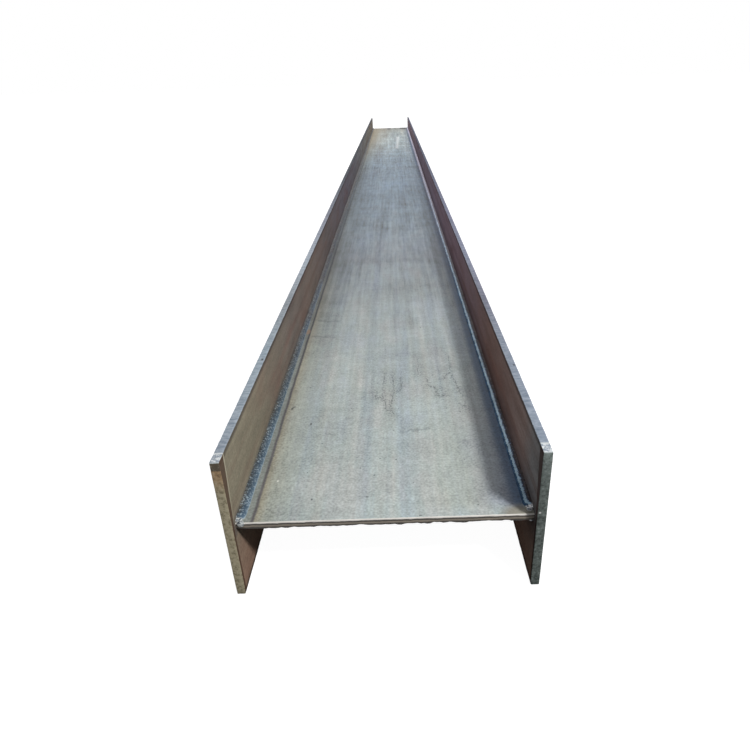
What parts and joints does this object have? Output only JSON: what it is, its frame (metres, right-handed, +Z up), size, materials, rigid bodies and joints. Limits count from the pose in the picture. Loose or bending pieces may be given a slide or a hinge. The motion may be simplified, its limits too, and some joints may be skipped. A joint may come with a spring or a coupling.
{
  "type": "steel i-beam",
  "caption": "Welded steel i-beam lying with its web level: flange strips on edge, joined to a web plate by fillet welds along the inside corners.",
  "frame": {"origin": "middle of the beam's underside, level with the lower edges of the flanges that it lies on", "axes": "+X across the section from the left flange to the right flange, +Y along the beam, +Z up, square to the web"},
  "size_m": [0.4, 6, 0.215],
  "materials": {
    "web_steel": "grey mill scale, streaked along the length, with scuffs and a little rust",
    "flange_steel": "mill scale under a thin film of brown rust, with flame-cut edges",
    "weld_steel": "rippled weld metal with blue heat tint"
  },
  "bodies": {
    "root": {"web_plate": "web_steel", "left_flange": "flange_steel", "right_flange": "flange_steel", "upper_left_weld": "weld_steel", "upper_right_weld": "weld_steel", "lower_left_weld": "weld_steel", "lower_right_weld": "weld_steel"}
  },
  "joints": []
}
